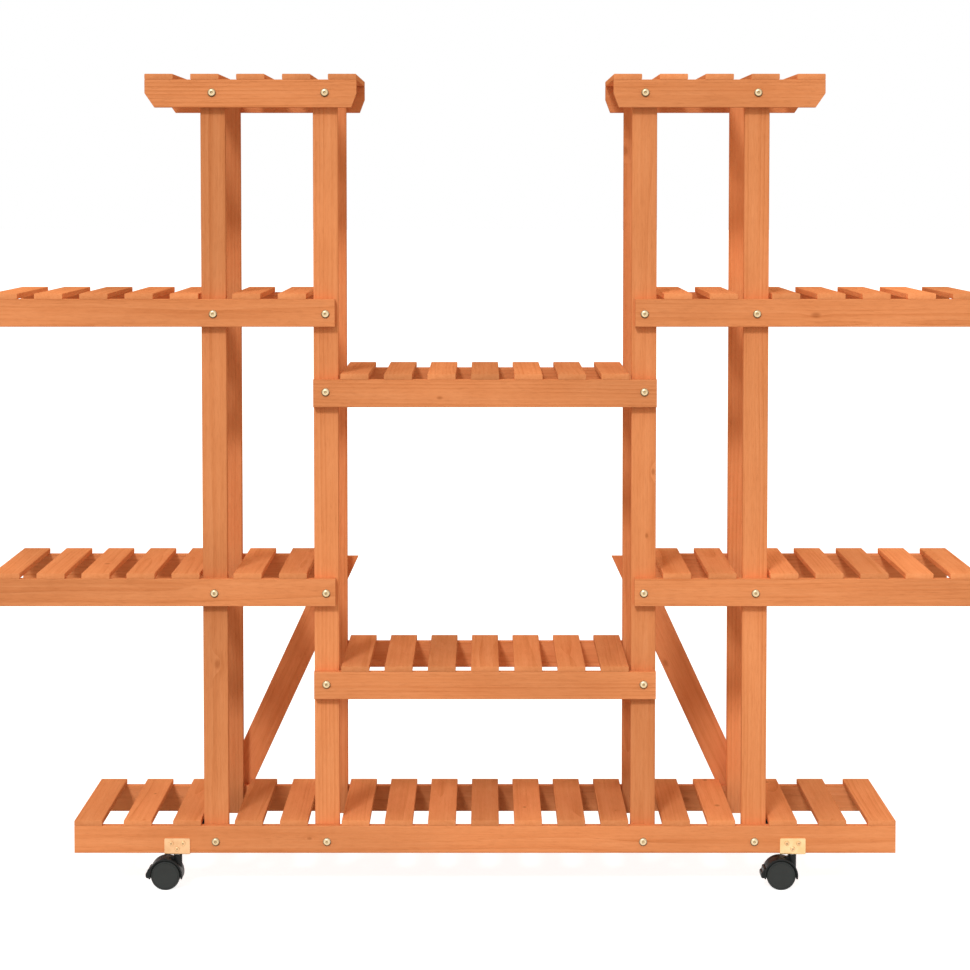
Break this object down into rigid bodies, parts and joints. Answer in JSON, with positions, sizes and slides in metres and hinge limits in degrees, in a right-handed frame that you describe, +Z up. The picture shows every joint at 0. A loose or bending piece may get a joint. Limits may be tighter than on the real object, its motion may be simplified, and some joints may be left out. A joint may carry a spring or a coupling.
{
  "type": "wooden plant stand",
  "caption": "Free-standing plant rack of stained softwood: stepped slatted shelves on bolted posts and rails, diagonal rear braces and small swivel casters, the front ones with brake pedals.",
  "frame": {"origin": "on the floor, under the middle of the stand's overall width and depth", "axes": "+X along the width, to the right seen from the front; +Y from the front to the back; +Z up"},
  "size_m": [1.233, 0.2712, 1.0212],
  "materials": {
    "post_wood": "stained softwood, satin oil finish",
    "rail_wood": "stained softwood, satin oil finish",
    "slat_wood": "stained softwood, satin oil finish",
    "brace_wood": "stained softwood, satin oil finish",
    "bolt_zinc": "yellow zinc plated",
    "nut_zinc": "yellow zinc plated",
    "screw_zinc": "yellow zinc plated",
    "bracket_zinc": "yellow zinc plated",
    "pin_steel": "bright",
    "hood_plastic": "moulded, satin",
    "wheel_plastic": "moulded, satin",
    "pedal_plastic": "moulded, satin"
  },
  "bodies": {
    "frame": {"outer_post_front_left": "post_wood", "outer_post_front_right": "post_wood", "outer_post_back_left": "post_wood", "outer_post_back_right": "post_wood", "inner_post_front_left": "post_wood", "inner_post_front_right": "post_wood", "inner_post_back_left": "post_wood", "inner_post_back_right": "post_wood", "bottom_rail_front": "rail_wood", "bottom_rail_back": "rail_wood", "lower_middle_rail_front": "rail_wood", "lower_middle_rail_back": "rail_wood", "upper_middle_rail_front": "rail_wood", "upper_middle_rail_back": "rail_wood", "lower_side_rail_front_left": "rail_wood", "lower_side_rail_front_right": "rail_wood", "lower_side_rail_back_left": "rail_wood", "lower_side_rail_back_right": "rail_wood", "upper_side_rail_front_left": "rail_wood", "upper_side_rail_front_right": "rail_wood", "upper_side_rail_back_left": "rail_wood", "upper_side_rail_back_right": "rail_wood", "top_rail_front_left": "rail_wood", "top_rail_front_right": "rail_wood", "top_rail_back_left": "rail_wood", "top_rail_back_right": "rail_wood", "bottom_slats": "slat_wood", "lower_middle_slats": "slat_wood", "upper_middle_slats": "slat_wood", "lower_side_slats_left": "slat_wood", "lower_side_slats_right": "slat_wood", "upper_side_slats_left": "slat_wood", "upper_side_slats_right": "slat_wood", "top_slats_left": "slat_wood", "top_slats_right": "slat_wood", "brace_left": "brace_wood", "brace_right": "brace_wood", "frame_bolts": "bolt_zinc", "brace_bolts": "bolt_zinc", "frame_nuts": "nut_zinc", "caster_screws": "screw_zinc", "caster_kingpins": "pin_steel", "caster_bracket_front_left": "bracket_zinc", "caster_bracket_front_right": "bracket_zinc", "caster_bracket_back_left": "bracket_zinc", "caster_bracket_back_right": "bracket_zinc"},
    "caster_swivel_front_left": {"caster_hood_front_left": "hood_plastic"},
    "caster_wheel_pair_front_left": {"caster_wheels_front_left": "wheel_plastic", "caster_axle_front_left": "pin_steel"},
    "caster_swivel_front_right": {"caster_hood_front_right": "hood_plastic"},
    "caster_wheel_pair_front_right": {"caster_wheels_front_right": "wheel_plastic", "caster_axle_front_right": "pin_steel"},
    "caster_swivel_back_left": {"caster_hood_back_left": "hood_plastic"},
    "caster_wheel_pair_back_left": {"caster_wheels_back_left": "wheel_plastic", "caster_axle_back_left": "pin_steel"},
    "caster_swivel_back_right": {"caster_hood_back_right": "hood_plastic"},
    "caster_wheel_pair_back_right": {"caster_wheels_back_right": "wheel_plastic", "caster_axle_back_right": "pin_steel"},
    "brake_pedal_left": {"brake_pedal_left": "pedal_plastic"},
    "brake_pedal_right": {"brake_pedal_right": "pedal_plastic"}
  },
  "joints": [
    {"name": "caster_swivel_front_left", "type": "hinge", "parent": "frame", "child": "caster_swivel_front_left", "pos_m": [-0.3865, -0.1216, 0.04], "axis": [0, 0, 1], "continuous": true},
    {"name": "wheel_spin_front_left", "type": "hinge", "parent": "caster_swivel_front_left", "child": "caster_wheel_pair_front_left", "pos_m": [-0.4012, -0.1216, 0.01825], "axis": [0, 1, 0], "continuous": true},
    {"name": "caster_swivel_front_right", "type": "hinge", "parent": "frame", "child": "caster_swivel_front_right", "pos_m": [0.3865, -0.1216, 0.04], "axis": [0, 0, 1], "continuous": true},
    {"name": "wheel_spin_front_right", "type": "hinge", "parent": "caster_swivel_front_right", "child": "caster_wheel_pair_front_right", "pos_m": [0.3718, -0.1216, 0.01825], "axis": [0, 1, 0], "continuous": true},
    {"name": "caster_swivel_back_left", "type": "hinge", "parent": "frame", "child": "caster_swivel_back_left", "pos_m": [-0.3865, 0.1124, 0.04], "axis": [0, 0, 1], "continuous": true},
    {"name": "wheel_spin_back_left", "type": "hinge", "parent": "caster_swivel_back_left", "child": "caster_wheel_pair_back_left", "pos_m": [-0.3865, 0.0977, 0.01825], "axis": [1, 0, 0], "continuous": true},
    {"name": "caster_swivel_back_right", "type": "hinge", "parent": "frame", "child": "caster_swivel_back_right", "pos_m": [0.3865, 0.1124, 0.04], "axis": [0, 0, 1], "continuous": true},
    {"name": "wheel_spin_back_right", "type": "hinge", "parent": "caster_swivel_back_right", "child": "caster_wheel_pair_back_right", "pos_m": [0.3865, 0.0977, 0.01825], "axis": [1, 0, 0], "continuous": true},
    {"name": "brake_pedal_left", "type": "hinge", "parent": "caster_swivel_front_left", "child": "brake_pedal_left", "pos_m": [-0.42098, -0.1216, 0.02468], "axis": [0, 1, 0], "range_deg": [0, 20]},
    {"name": "brake_pedal_right", "type": "hinge", "parent": "caster_swivel_front_right", "child": "brake_pedal_right", "pos_m": [0.35202, -0.1216, 0.02468], "axis": [0, 1, 0], "range_deg": [0, 20]}
  ]
}
